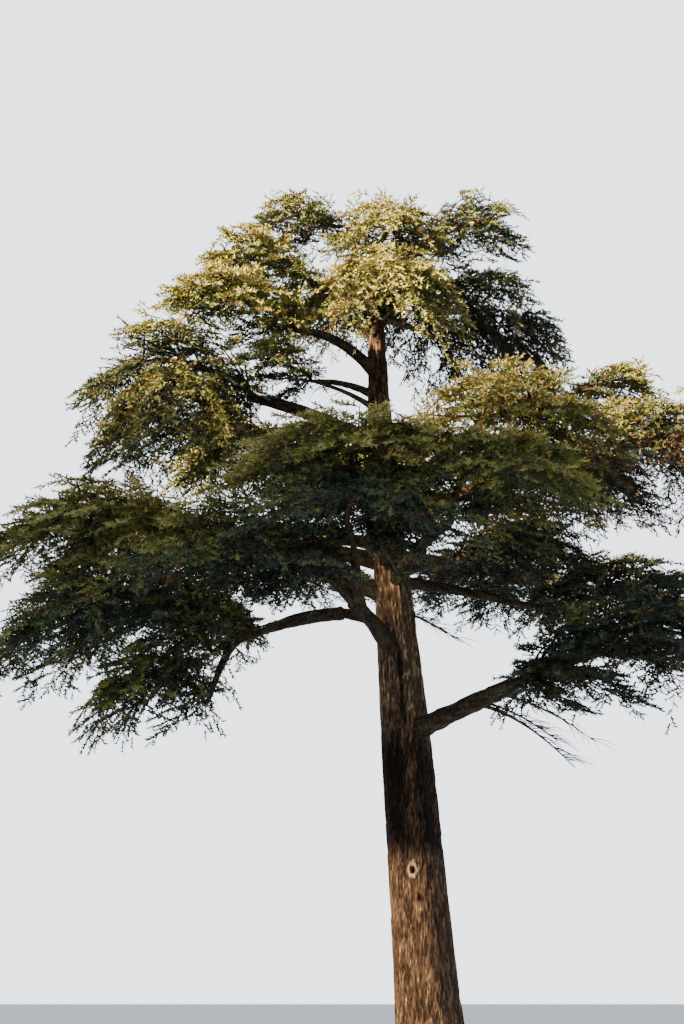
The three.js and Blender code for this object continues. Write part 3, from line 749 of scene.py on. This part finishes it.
def ribs_of(seed, count, tiers):
    """Where ribs leave the stem and the place on the dome that each heads for.

    Pair p of the ribs points 150 - 135 (p + 1/2) / pairs degrees round from the stem's own direction, one to
    each side, and by turns belongs to one of the tiers, given as angles above the dome's rim.
    """
    drawn = numbers_from(seed, count, 2)
    number = np.arange(count)
    pair = number // 2
    side = np.where(number % 2, 1.0, -1.0)
    degrees = RIB_FIRST - RIB_SWEEP * (pair + 0.5) / (count // 2) + RIB_UNEVEN * (drawn[:, 0] - 0.5)
    round_angle = np.radians(degrees)
    tier = np.asarray(tiers, float)[(pair + number) % len(tiers)]
    rise = np.radians(tier + RIB_RISE_UNEVEN * drawn[:, 1])
    start = np.clip(np.cos(round_angle) - 0.5, STEM_FROM + 0.12, 0.4)
    rim = [np.cos(round_angle) * np.cos(rise), side * np.sin(round_angle) * np.cos(rise), np.sin(rise)]
    return start, np.stack(rim, axis=-1)


def all_ribs(mass):
    """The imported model's ten ribs and the finer ones, as starts on the stem and places on the dome.

    HANGING masses have a tier more, low under the dome.
    """
    start, rim = ribs_of(mass.seed, SOURCE_RIBS, SOURCE_TIERS)
    fine = 2 * int(FINE_PAIRS_PER_METRE * mass.spread)
    tiers = HANGING_TIERS if mass.name in HANGING else FINE_TIERS
    fine_start, fine_rim = ribs_of(mass.seed + 1000, fine, tiers)
    uneven = 0.88 + 0.2 * numbers_from(mass.seed + 2000, fine)
    starts = np.concatenate([start, CREST_AND_END_START, fine_start])
    return starts, np.concatenate([rim, CREST_AND_END, fine_rim * uneven[:, None]])


def rib_points(mass, start, rim, share):
    """Straight in (u, v, w) from the stem at u = start to the rim, so that it droops with the dome.

    With h the height over the stem, h - LAYER_PULL sin(2 pi h / LAYER_GAP) LAYER_GAP / (2 pi) then gathers
    the ribs in layers, a gap apart.
    """
    share = np.asarray(share)
    begin = np.stack([start, bend(start), np.zeros_like(start)], axis=-1)[:, None]
    u, v, w = np.moveaxis(begin + (rim[:, None] - begin) * share[..., None], -1, 0)
    turns = 2 * np.pi * mass.half[2] / LAYER_GAP
    return mass.at(u, v, w - LAYER_PULL * np.sin(turns * w) / turns)


RIB_RINGS = 7
STEM_RINGS = 14
STEM_SUNK = 0.08
STEM_LEAD = 0.16
twig_parts = []
for mass in masses:
    u = np.linspace(-0.72, 0.8, STEM_RINGS)
    sunk = mass.root - STEM_SUNK * mass.direction
    lead = mass.root + STEM_LEAD * mass.direction
    stem = np.concatenate([[sunk, lead], mass.at(u, bend(u), np.zeros_like(u))])
    taper = mass.radius * np.linspace(1, 0.12, len(stem)) ** 0.8
    twig_parts.append(tubes(stem[None], taper, 7))
    mass.starts, mass.rims = all_ribs(mass)
    ribs = rib_points(mass, mass.starts, mass.rims, np.linspace(0, 1, RIB_RINGS)[None])
    twig_parts.append(tubes(ribs, np.linspace(0.3, 0.07, RIB_RINGS) * mass.radius, 4))
print("stems and ribs:", sum(len(faces) for _, faces in twig_parts), "triangles")

# %% Side twigs
TWIGS_PER_METRE = 8.0
TWIG_LENGTH = 0.9
TWIG_SPREAD = 55
TWIG_RINGS = 3
TWIG_RADII = [0.011, 0.004]
RIM_LIMIT = 1.16
WEEPING_LIMIT = 1.6
LEADER_LIMIT = 1.8
LEADER_LENGTH = 0.7
WEEPING = {
    "top_right_weeping": 0.65,
    "top_cascade": 0.45,
    "top_right": 0.45,
    "left_upper_low": 0.45,
    "left_hanging": 0.4,
    "right_upper": 0.45,
    "dome_right": 0.3,
}
CURTAINS = {"top_right_weeping": 4.5, "top_cascade": 2.7, "top_right": 1.9}
CURTAIN_LONGER = 1.5
OPEN = {"left_inner": 0.6, "right_upper": 0.85, "top_right_weeping": 0.8}


def side_twigs(mass):
    """The side twigs of a mass, as their points (twigs, rings, 3) and lengths.

    At share s of a rib a twig leaves at TWIG_SPREAD degrees, left and right by turns, in the tier's plane. It
    is TWIG_LENGTH (0.3 + 0.7 s) long, less near the rib's tip, and hangs by the square of how far along it
    is, and a share of them, WEEPING, hangs steeply; in the masses that end in a CURTAIN those are longer and
    may hang further below the dome. The last twig runs straight on as the rib's leader. OPEN is the share
    that is kept where the sky shows through a mass.
    """
    twigs = int(TWIGS_PER_METRE * mass.spread)
    drawn = numbers_from(mass.seed + 3000, len(mass.starts), twigs, 5)
    share = np.linspace(0.14, 1.0, twigs) + 0.03 * (drawn[..., 0] - 0.5)
    root = rib_points(mass, mass.starts, mass.rims, share)
    ahead = rib_points(mass, mass.starts, mass.rims, share + 0.05)
    forward = unit(ahead - root)
    sideways = unit(np.cross(forward, UP))
    turn = np.radians(TWIG_SPREAD + 22 * (drawn[..., 1] - 0.5)) * np.where(np.arange(twigs) % 2, 1, -1)
    length = TWIG_LENGTH * (0.3 + 0.7 * share) * np.sqrt(1 - (0.9 * np.clip(share, 0, 1)) ** 6)
    length = length * (0.7 + 0.5 * drawn[..., 2])
    weeps = drawn[..., 4] < WEEPING.get(mass.name, 0.2)
    hang = np.where(weeps, 0.8 + 0.6 * drawn[..., 3], 0.02 + 0.16 * drawn[..., 3])
    if mass.name in CURTAINS:
        length = np.where(weeps, CURTAIN_LONGER * length, length)
    turn[:, -1] *= 0.15
    length[:, -1] = LEADER_LENGTH * (0.4 + 0.8 * drawn[:, -1, 2])
    hang[:, -1] = 0.2 * drawn[:, -1, 3] - 0.25
    limit = np.where(weeps, CURTAINS.get(mass.name, WEEPING_LIMIT), RIM_LIMIT)
    limit[:, -1] = LEADER_LIMIT
    heading = swing(forward, sideways, turn)
    t = np.linspace(0, 1, TWIG_RINGS)[:, None]
    run = heading[..., None, :] * length[..., None, None] * t
    points = root[..., None, :] + run - UP * (hang * length)[..., None, None] * t * t
    kept = own(mass, points[..., -1, :], limit) & own(mass, points[..., 0, :], RIM_LIMIT)
    kept &= numbers_from(mass.seed + 4000, *share.shape) < OPEN.get(mass.name, 1.0)
    return points[kept], length[kept]


for mass in masses:
    mass.twigs, mass.twig_lengths = side_twigs(mass)
    twig_parts.append(tubes(mass.twigs, np.linspace(*TWIG_RADII, TWIG_RINGS), 3))
print("side twigs:", sum(len(mass.twigs) for mass in masses))

# %% [markdown]
# ## Twig bark
#
# Young cedar wood is thin-barked, brown-grey and a little rough. From a distance only its colour shows,
# between the needles, so a noise between two browns is enough. Its flecks are 50 mm long, coarser than real
# ones, which would blend into one flat brown at this distance. The wood is joined in two pieces and the
# needles in more, so that each has fewer than 200,000 triangles.

# %% Build the wood inside the masses
foliage_nodes = ["foliage_" + mass.name for mass in masses]
twig_bark = flecked("brown twig bark", 0.85, 0.25, 0.05, "#241b14", "#54422f")
for half_number in range(2):
    vertices, faces = joined(twig_parts[half_number::2])
    name = f"twigs_{half_number + 1}"
    add_piece(name, vertices, faces, twig_bark, "bough_bark", True, foliage_nodes)

# %% [markdown]
# ## Dead limbs
#
# Cedars keep dead limbs for years. Below the lowest bough on the right three hang bare and grey, and short
# ones are left on the trunk above it and on the low bough on the left. A thick one slopes down through the
# curtain of twigs under the top, and two show in the gap on the other side of the trunk. Each is a limb like
# the boughs, only thinner, with a fan of bare twigs that the same seeded numbers spread. Dead wood that has
# lost its bark weathers to a matt grey, in patches of 80 mm where some brown is left.

# %% Build the dead limbs
DEAD_LIMBS = [
    ["low_right", 0.66, -20, 2.0, -1.4, 0.22, 0.05],
    ["low_right", 0.7, -34, 1.7, -0.95, 0.12, 0.035],
    ["low_right", 0.85, 2, 1.9, -0.9, 0.15, 0.035],
    ["trunk", 9.5, -12, 1.3, -0.75, 0.05, 0.04],
    ["low_left", 0.75, 205, 1.5, -0.7, 0.1, 0.03],
    ["trunk", 16.5, -8, 2.4, -1.25, 0.1, 0.1],
    ["trunk", 14.1, 186, 2.4, 0.7, 0.25, 0.07],
    ["left_upper", 0.45, 215, 1.3, -0.9, 0.15, 0.05],
]
DEAD_TWIGS = 30
DEAD_TWIG_LENGTH = 0.75
DEAD_TWIG_RINGS = 5
DEAD_TWIG_RADII = [0.011, 0.003]
WANDER = 0.04

dead_parts = []
share = np.linspace(0, 1, 12)
for limb_number, values in enumerate(DEAD_LIMBS):
    row = dict(zip(LIMB_COLUMNS, values))
    place, thickness = limb_path(row)
    dead_parts.append(tubes(place(share)[None], thickness(share) * (1 - 0.6 * share), 6))
    drawn = numbers_from(700 + limb_number, DEAD_TWIGS, 4)
    root_share = 0.2 + 0.8 * drawn[:, 0]
    heading = np.radians(row["heading"] + 130 * (drawn[:, 1] - 0.5))
    outward = np.stack([np.cos(heading), np.sin(heading), 0.5 * drawn[:, 2] - 0.45], axis=-1)
    length = DEAD_TWIG_LENGTH * (0.4 + 0.6 * drawn[:, 3])
    t = np.linspace(0, 1, DEAD_TWIG_RINGS)[:, None]
    run = outward[:, None] * length[:, None, None] * t - UP * 0.25 * length[:, None, None] * t * t
    wander = WANDER * (numbers_from(740 + limb_number, DEAD_TWIGS, DEAD_TWIG_RINGS, 3) - 0.5) * (t > 0)
    twigs = place(root_share)[:, None] + run + wander
    dead_parts.append(tubes(twigs, np.linspace(*DEAD_TWIG_RADII, DEAD_TWIG_RINGS), 3))
dead_wood = flecked("dead grey wood", 0.9, 0.2, 0.08, "#2f2822", "#6b5f52")
add_piece("dead_limbs", *joined(dead_parts), dead_wood, "bough_bark", True)

# %% [markdown]
# ## Needle sprays
#
# Cedar needles are about 30 mm long and stand in tufts on short spurs all along a shoot. From 30 m away a
# tuft is two or three pixels wide, so each spray here is one shoot of about 0.2 m with spiky tufts on it,
# and each tuft is one thin three-cornered face, two to three times as long as a needle. A few different
# sprays are drawn once, and every spray of the tree is one of them, turned, sized and moved into place by
# one product of arrays.

# %% Spray shapes
SPRAY_KINDS = 8
TUFTS = 10
SPRAY_LENGTH = 0.21
TUFT_LENGTH = 0.08
TUFT_WIDTH = 0.035
TUFT_LIFT = 0.25
SHOOT_WIDTH = 0.03
GOLDEN_ANGLE = np.radians(137.5)


def spray_shapes():
    """(kinds, triangles, 3, 3): tufts on a spiral round +X, leaning forward, more above than below.

    Tuft i stands at about x = SPRAY_LENGTH i / TUFTS and angle a = i GOLDEN_ANGLE. It points along (cos l,
    sin l cos a, 0.7 sin l sin a + TUFT_LIFT) with lean l, from a base TUFT_WIDTH wide that lies in a
    direction of its own, so that some faces catch the light from any side. Two long faces along +X make the
    shoot itself.
    """
    drawn = numbers_from(77, SPRAY_KINDS, TUFTS, 7)
    x = SPRAY_LENGTH * (np.arange(TUFTS) + drawn[..., 0]) / TUFTS
    around = np.arange(TUFTS) * GOLDEN_ANGLE + 0.8 * drawn[..., 1]
    lean = np.radians(40 + 30 * drawn[..., 2])
    upward = 0.7 * np.sin(lean) * np.sin(around) + TUFT_LIFT
    pointing = [np.cos(lean), np.sin(lean) * np.cos(around), upward]
    pointing = unit(np.stack(pointing, axis=-1)) * (TUFT_LENGTH * (0.7 + 0.6 * drawn[..., 3]))[..., None]
    base = np.stack([x, np.zeros_like(x), np.zeros_like(x)], axis=-1)
    wide = unit(np.cross(pointing, drawn[..., 4:7] - 0.5)) * TUFT_WIDTH / 2
    tufts = np.stack([base - wide, base + wide, base + pointing], axis=-2)
    half = SHOOT_WIDTH / 2
    tip = [1.25 * SPRAY_LENGTH, 0, 0.02]
    shoot = np.array([[[0, -half, 0], [0, half, 0], tip], [[0, 0, half], [0, 0, -half], tip]])
    shoot = np.broadcast_to(shoot, (SPRAY_KINDS, 2, 3, 3))
    return np.concatenate([tufts, shoot], axis=1)


SHAPES = spray_shapes()
print("one spray has", SHAPES.shape[1], "triangles")

# %% Spray places
SPRAY_GAP = 0.075
SPRAY_SPREAD = 42


def spray_places(mass):
    """Where the sprays of a mass stand, in which direction they point and how large they are.

    Along each twig a spray leaves every SPRAY_GAP, to the left and right by turns, and one ends the twig.
    """
    most = int(np.ceil(1.3 * CURTAIN_LONGER * TWIG_LENGTH / SPRAY_GAP))
    step = np.arange(most)
    share = 1 - step * SPRAY_GAP / np.maximum(mass.twig_lengths, 0.1)[:, None]
    there = share > 0.05
    twig, step = np.nonzero(there)
    share = share[there]
    t = share * (TWIG_RINGS - 1)
    low = np.minimum(t.astype(int), TWIG_RINGS - 2)
    below, above = mass.twigs[twig, low], mass.twigs[twig, low + 1]
    place = below + (above - below) * (t - low)[:, None]
    forward = unit(above - below)
    drawn = numbers_from(mass.seed + 5000, len(place), 4)
    sideways = unit(np.cross(forward, UP))
    turn = np.where(step % 2, 1, -1) * np.radians(SPRAY_SPREAD) * (0.6 + 0.8 * drawn[:, 0])
    turn = np.where(step == 0, 0.2 * turn, turn)
    heading = swing(forward, sideways, turn)
    heading = unit(heading + UP * (0.4 * drawn[:, 1] - 0.24)[:, None])
    size = 0.75 + 0.5 * drawn[:, 2]
    tip = place + heading * (1.3 * SPRAY_LENGTH * size)[:, None]
    limit = CURTAINS.get(mass.name, LEADER_LIMIT)
    kept = own(mass, place, limit) & own(mass, tip, limit + 0.2)
    return place[kept], heading[kept], size[kept], drawn[kept, 3]


def sprays(place, heading, size, roll, kind):
    """The triangles of many sprays: place + size (x H + y S + z N), with S and N square to heading H."""
    side = unit(np.cross(UP, heading))
    tilt = (roll - 0.5) * 1.3
    side = unit(swing(side, np.cross(heading, side), tilt))
    normal = np.cross(heading, side)
    turned = np.stack([heading, side, normal], axis=1) * size[:, None, None]
    shape = SHAPES[kind].reshape(len(kind), -1, 3)
    return (shape @ turned + place[:, None]).reshape(-1, 3)


places = [spray_places(mass) for mass in masses]
place, heading, size, roll = (np.concatenate(values) for values in zip(*places))
owner = np.repeat(np.arange(len(masses)), [len(values[0]) for values in places])
print(len(place), "sprays,", len(place) * SHAPES.shape[1], "triangles")

# %% [markdown]
# ## Needle colours
#
# Cedar needles are waxy and grey-green; new growth is yellow-green with pale tips, older needles are deeper
# green, and some sprays yellow or die back brown. Here the tints are mostly painted light and shade: sprays
# high in the crown, on the tops and rims of the tiers and on the sunny side get yellow-green and pale tints as
# painted light and highlight, and sprays inside and under a tier and in the lower crown get deep green,
# bluish and dark tints as painted shade. The colours are dealt out by spray: each gets a score from how high
# it stands in the crown and in its mass, how near the rim, how far to the sunny side, a painted light or
# shade for its whole mass, a slow noise that gathers them in patches, and luck. Brown ones are more common
# low in a mass, where needles die for want of light. Wax makes the needles half matt, and flecks as long as a
# tuft, coarser than a needle, vary each colour a little.

# %% Colour tables
SUNNY = unit(np.array([-0.8, -0.6, 0.0]))
PATCH_WIDTH = 0.7
# Painted light (plus) or painted shade (minus) for each whole mass.
PAINTED_LIGHT_BY_MASS = {
    "dome_right": 0.3,
    "top_right_weeping": -0.4,
    "top_right": -0.25,
    "top_left_leader": -0.2,
    "left_upper": -0.28,
    "left_upper_low": -0.08,
    "left_inner": -0.2,
    "mid_right": -0.35,
    "left_low": 0.25,
    "low_left": 0.25,
    "low_front_left": 0.1,
    "front": 0.27,
    "front_right": 0.22,
    "low_right": -0.12,
    "low_right_back": -0.1,
}
BROWNING = {"right_upper": 0.3, "back_right_upper": 0.15, "dome_right": 0.08, "low_right_back": 0.08}
BROWNING_ELSEWHERE = 0.03
UPPER_CROWN = [9.5, 14.5]
CROWN_HALF_WIDTH = 8
# The first six tints run from painted shade to painted highlight, with the step from old to new needles in
# them; the last two are yellowing and brown.
TINTS = [
    ("shaded_needles", "#1a2014", "#3a452f"),
    ("blue_green_needles", "#27342a", "#5c6c58"),
    ("deep_green_needles", "#364021", "#6a7543"),
    ("green_needles", "#4c5328", "#7d8242"),
    ("sunlit_needles", "#7f803a", "#9f9d4d"),
    ("pale_needles", "#a6a058", "#c2ba7a"),
    ("yellowing_needles", "#80672f", "#a08546"),
    ("brown_needles", "#62452f", "#8b674b"),
]
TINT_SHARES = [0.2, 0.4, 0.6, 0.8, 0.94]
YELLOWING, BROWN = 6, 7
YELLOWING_ABOVE = 0.97
print(len(TINTS), "needle colours")

# %% Deal out the colours
uvw = np.empty_like(place)
for mass_number, mass in enumerate(masses):
    chosen = owner == mass_number
    uvw[chosen] = mass.inside(place[chosen])
reach = np.clip(np.sum(uvw**2, axis=-1), 0, 1.2)
chance = numbers_from(9001, len(place), 2)
sunny_side = (place - trunk_middle(place[:, 2])) @ SUNNY / CROWN_HALF_WIDTH
upper = smooth_step(*UPPER_CROWN, place[:, 2])
patch = noise(place, PATCH_WIDTH, 5) - 0.5
mass_painted_light = np.array([PAINTED_LIGHT_BY_MASS.get(mass.name, 0.0) for mass in masses])[owner]
# The score is painted light and shade: higher up the crown, on the top and rim of a mass and on the sunny side,
# plus random tone from patches and luck.
score = 0.36 * upper + 0.25 * reach + 0.3 * uvw[:, 2] + 0.12 * sunny_side + mass_painted_light
score += 0.45 * patch + 0.3 * chance[:, 0]
browning = np.array([BROWNING.get(mass.name, BROWNING_ELSEWHERE) for mass in masses])[owner]
browning = browning * (1.6 - 1.3 * smooth_step(-0.3, 0.4, uvw[:, 2]))
dying = chance[:, 1] - 0.25 * (noise(place, 0.5, 6) - 0.5)
tint = np.digitize(score, np.quantile(score, TINT_SHARES))
tint[(dying > YELLOWING_ABOVE) & (score > np.quantile(score, 0.3))] = YELLOWING
tint[dying < browning] = BROWN
print("sprays by colour:", [int(np.sum(tint == number)) for number in range(len(TINTS))])

# %% Build the needles
MOST_TRIANGLES = 190_000

kind = (numbers_from(9100, len(place)) * SPRAY_KINDS).astype(int)
most_sprays = MOST_TRIANGLES // SHAPES.shape[1]
for tint_number, (name, darker, lighter) in enumerate(TINTS):
    material = flecked(name.replace("_", " "), 0.5, 0.35, TUFT_LENGTH, darker, lighter)
    chosen = np.flatnonzero(tint == tint_number)
    chosen = chosen[np.argsort(place[chosen, 2], kind="stable")]
    for piece_number, some in enumerate(np.array_split(chosen, -(-len(chosen) // most_sprays)), start=1):
        vertices = sprays(place[some], heading[some], size[some], roll[some], kind[some])
        faces = np.arange(len(vertices)).reshape(-1, 3)
        add_piece(f"{name}_{piece_number}", vertices, faces, material, "needles", False, foliage_nodes)

# %% [markdown]
# ## Cones
#
# Cedar cones stand upright on the twigs like small barrels, about 90 mm tall, and ripen from green to a pale
# brown that catches the sun. Close to they tell the kind of tree, and from a distance they are the light
# flecks on its tiers. Each is a barrel: a profile turned round the upright axis, with flecks the size of a
# cone scale, 20 mm.

# %% Build the cones
CONES = 1400
CONE_HEIGHT = 0.095
CONE_RADIUS = 0.03

cone_scales = flecked("ripe cone scales", 0.7, 0.3, 0.02, "#6b4a30", "#b08e68")
on_top = (uvw[:, 2] > -0.1) & (reach > 0.3) & (reach < 1.05)
open_places = np.flatnonzero(on_top & (upper + chance[:, 0] > 0.75))
picked = open_places[(numbers_from(9200, CONES) * len(open_places)).astype(int)]
profile = np.array([[0.0, 0.35], [0.3, 0.95], [0.7, 0.85], [1.0, 0.2]])
tall = CONE_HEIGHT * (0.8 + 0.4 * numbers_from(9300, CONES))
middle = place[picked][:, None] + UP * (profile[:, 0] * tall[:, None])[..., None]
barrels = tubes(middle, CONE_RADIUS * profile[:, 1], 6)
add_piece("cones", *barrels, cone_scales, "needles", True, foliage_nodes)

# %% [markdown]
# ## Floor, backdrop and light
#
# The tree stands on a plain pale floor before a plain pale backdrop. Low winter sun lights the upper crown
# and the foot of the trunk, and the rest stands in shade. So the light is a weak sun for the whole tree, a
# strong warm lamp far away on the left whose soft lower edge crosses the crown, and a small one for the
# trunk's foot. The backdrop is as bright as a winter sky where the camera sees it. As a light it is
# weaker, and weakest near the horizon, as if a soft box hung overhead and dark cloth all round.

# %% Make the floor
FLOOR_SIZE = 300.0
corners = np.array([[-1, -1, 0], [1, -1, 0], [1, 1, 0], [-1, 1, 0]]) * FLOOR_SIZE / 2
floor_mesh = bpy.data.meshes.new("floor")
floor_mesh.from_pydata(corners.tolist(), [], [(0, 1, 2, 3)])
floor = bpy.data.objects.new("floor", floor_mesh)
bpy.context.scene.collection.objects.link(floor)
floor_paint, shader = new_material("pale studio floor", roughness=0.8, specular=0.3)
shader.inputs["Base Color"].default_value = linear("#f0f0ec")
floor_mesh.materials.append(floor_paint)
print("floor", FLOOR_SIZE, "m square")

# %% Make the backdrop
SEEN_STRENGTH = 3.2
FILL_LOW = 0.2
FILL_HIGH = 1.25
world = bpy.data.worlds.new("pale_backdrop")
world.use_nodes = True
seen = world.node_tree.nodes["Background"]
seen.inputs["Color"].default_value = linear("#e8f0fa")
seen.inputs["Strength"].default_value = SEEN_STRENGTH
direction = add_node(world, "TexCoord", {}).outputs["Generated"]
upward = add_node(world, "SeparateXYZ", {"Vector": direction}).outputs["Z"]
range_inputs = {"Value": upward, "From Min": 0.1, "From Max": 0.8, "To Min": FILL_LOW, "To Max": FILL_HIGH}
strength = add_node(world, "MapRange", range_inputs).outputs["Result"]
fill = add_node(world, "Background", {"Color": linear("#d2e1f4"), "Strength": strength})
ray = add_node(world, "LightPath", {}).outputs["Is Camera Ray"]
both = add_node(world, "MixShader", {0: ray, 1: fill.outputs["Background"], 2: seen.outputs["Background"]})
world.node_tree.links.new(both.outputs[0], world.node_tree.nodes["World Output"].inputs["Surface"])
bpy.context.scene.world = world
print("backdrop", SEEN_STRENGTH, "where it is seen and up to", FILL_HIGH, "as a light")

# %% Make the lamps
LAMP_SIDE = unit(np.array([-0.82, -0.50, 0.34]))
WARM = "#ffe3b8"


def add_lamp(name, kind, energy, target, away, **settings):
    """A warm lamp that points at a target from LAMP_SIDE, that far away, with its settings."""
    place = target + away * LAMP_SIDE
    data = bpy.data.lights.new(name, kind)
    data.energy = energy
    data.color = linear(WARM)[:3]
    for key, value in settings.items():
        setattr(data, key, value)
    lamp = bpy.data.objects.new(name, data)
    lamp.location = place
    lamp.rotation_euler = (Vector(target) - Vector(place)).to_track_quat("-Z", "Y").to_euler()
    lamp.visible_camera = False
    bpy.context.scene.collection.objects.link(lamp)


SUN_STRENGTH = 1.1
add_lamp("weak_sun", "SUN", SUN_STRENGTH, np.zeros(3), 40, angle=np.radians(6))
CROWN_POWER = 47_000_000
CROWN_LAMP_AWAY = 300.0
CROWN_BEAM = 24.0
EDGE_RIGHT = np.array([2.0, -3.0, 11.7])
EDGE_LEFT = np.array([-6.0, -1.5, 12.4])
beam_up = unit(np.cross(LAMP_SIDE, EDGE_RIGHT - EDGE_LEFT))
crown_target = (EDGE_RIGHT + EDGE_LEFT) / 2 + CROWN_BEAM * beam_up
add_lamp(
    "crown_lamp", "SPOT", CROWN_POWER, crown_target, CROWN_LAMP_AWAY,
    spot_size=2 * np.arctan(CROWN_BEAM / CROWN_LAMP_AWAY), spot_blend=0.1, shadow_soft_size=2.5,
)
FOOT_POWER = 42_000
FOOT_LAMP_AWAY = 24.0
FOOT_BEAM = 2.8
foot_target = np.array([0.0, 0.0, 1.2])
add_lamp(
    "foot_lamp", "SPOT", FOOT_POWER, foot_target, FOOT_LAMP_AWAY,
    spot_size=2 * np.arctan(FOOT_BEAM / FOOT_LAMP_AWAY), spot_blend=0.2, shadow_soft_size=0.4,
)
print("three warm lamps and a pale fill")
